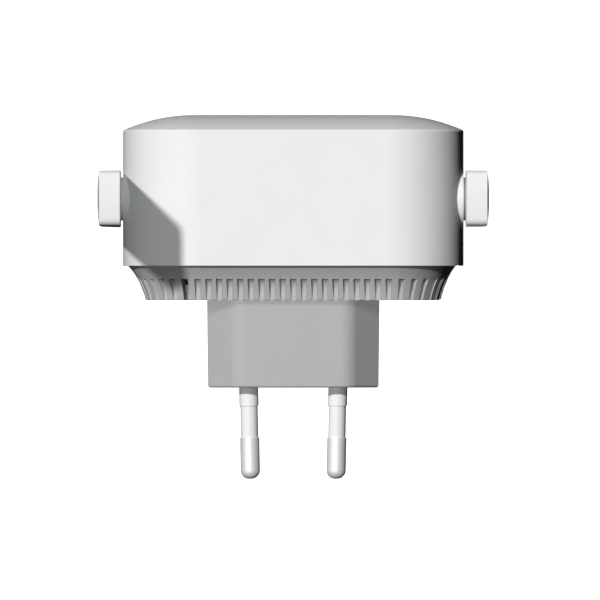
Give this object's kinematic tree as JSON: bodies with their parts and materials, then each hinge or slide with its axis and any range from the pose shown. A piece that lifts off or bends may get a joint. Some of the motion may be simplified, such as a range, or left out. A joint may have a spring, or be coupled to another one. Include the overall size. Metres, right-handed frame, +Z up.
{
  "type": "wifi range extender",
  "caption": "Plug-in wifi range extender: rounded white box with a vented grey rear cover, a mains plug block with round pins, and folding side antennas.",
  "frame": {"origin": "centre of the plug block's end face, between the pins, which rests on the wall socket", "axes": "+Z up as plugged in; +Y towards the wall along the plug axis; +X to the right as seen by someone facing the front"},
  "size_m": [0.081, 0.0758, 0.124],
  "materials": {
    "housing_white": "fine spark texture",
    "cover_grey": "fine spark texture",
    "plug_grey": "fine spark texture",
    "sleeve_white": "smooth",
    "pin_metal": "bright nickel plate",
    "strip_brass": "stamped",
    "screw_steel": "zinc plated",
    "label_silver": "satin film, blank",
    "power_board_blue": "solder mask",
    "capacitor_sleeve": "shrink sleeve",
    "ferrite": "sintered",
    "bobbin_black": "moulded",
    "winding_tape": "polyester tape",
    "package_black": "moulded epoxy",
    "resistor_body": "lacquer",
    "choke_winding": "enamelled wire",
    "header_black": "moulded",
    "film_clear": "milky film",
    "main_board_blue": "solder mask",
    "shield_tin": "tin plate",
    "thermal_pad_grey": "soft silicone",
    "heatsink_aluminium": "bead blasted",
    "led_lens": "lens",
    "light_pipe": "frosted",
    "switch_black": "moulded",
    "switch_plunger": "moulded",
    "button_white": "satin",
    "jack_black": "moulded",
    "jack_shield": "nickel plate",
    "contact_gold": "gold plate",
    "lead_black": "jacket",
    "antenna_white": "fine spark texture",
    "radiator_board": "solder mask with copper",
    "clip_steel": "spring steel"
  },
  "bodies": {
    "extender": {"front_housing": "housing_white", "rear_cover": "cover_grey", "plug_housing": "plug_grey", "contact_strips": "strip_brass", "case_screws": "screw_steel", "rating_label": "label_silver", "power_board": "power_board_blue", "mains_capacitors": "capacitor_sleeve", "output_capacitor": "capacitor_sleeve", "transformer_core": "ferrite", "transformer_bobbin": "bobbin_black", "transformer_winding": "winding_tape", "bridge_rectifier": "package_black", "fusible_resistor": "resistor_body", "mains_choke": "choke_winding", "board_header": "header_black", "insulation_sheet": "film_clear", "main_board": "main_board_blue", "board_screws": "screw_steel", "shield_can": "shield_tin", "processor_chip": "package_black", "memory_chip": "package_black", "thermal_pad": "thermal_pad_grey", "heat_spreader": "heatsink_aluminium", "status_leds": "led_lens", "light_guide": "light_pipe", "wps_switch_body": "switch_black", "reset_switch_body": "switch_black", "ethernet_jack_housing": "jack_black", "ethernet_jack_shield": "jack_shield", "ethernet_contacts": "contact_gold", "ethernet_magnetics": "package_black", "antenna_connectors": "contact_gold", "antenna_leads": "lead_black", "pin_sleeve_right": "sleeve_white", "plug_pin_right": "pin_metal", "friction_washer_right": "clip_steel", "pin_sleeve_left": "sleeve_white", "plug_pin_left": "pin_metal", "friction_washer_left": "clip_steel"},
    "antenna_right": {"antenna_outer_shell_right": "antenna_white", "antenna_inner_shell_right": "antenna_white", "radiator_right": "radiator_board", "antenna_feed_right": "lead_black", "retaining_clip_right": "clip_steel"},
    "antenna_left": {"antenna_outer_shell_left": "antenna_white", "antenna_inner_shell_left": "antenna_white", "radiator_left": "radiator_board", "antenna_feed_left": "lead_black", "retaining_clip_left": "clip_steel"},
    "wps_button": {"wps_button": "button_white"},
    "wps_plunger": {"wps_switch_plunger": "switch_plunger"},
    "reset_plunger": {"reset_switch_plunger": "switch_plunger"}
  },
  "joints": [
    {"name": "antenna_right_fold", "type": "hinge", "parent": "extender", "child": "antenna_right", "pos_m": [0.038, -0.0393, -0.0007], "axis": [1, 0, 0], "range_deg": [0, 180]},
    {"name": "antenna_left_fold", "type": "hinge", "parent": "extender", "child": "antenna_left", "pos_m": [-0.038, -0.0393, -0.0007], "axis": [1, 0, 0], "range_deg": [0, 180]},
    {"name": "wps_press", "type": "slide", "parent": "extender", "child": "wps_button", "axis": [0, 1, 0], "range_m": [0, 0.0004], "stiffness_N_per_m": 1500},
    {"name": "wps_plunger_press", "type": "slide", "parent": "extender", "child": "wps_plunger", "axis": [0, 1, 0], "range_m": [0, 0.0004]},
    {"name": "reset_press", "type": "slide", "parent": "extender", "child": "reset_plunger", "axis": [0, 0, 1], "range_m": [0, 0.00025], "stiffness_N_per_m": 1500}
  ],
  "couplings": [
    {"joint": "wps_plunger_press", "follows": "wps_press", "ratio": 1}
  ]
}
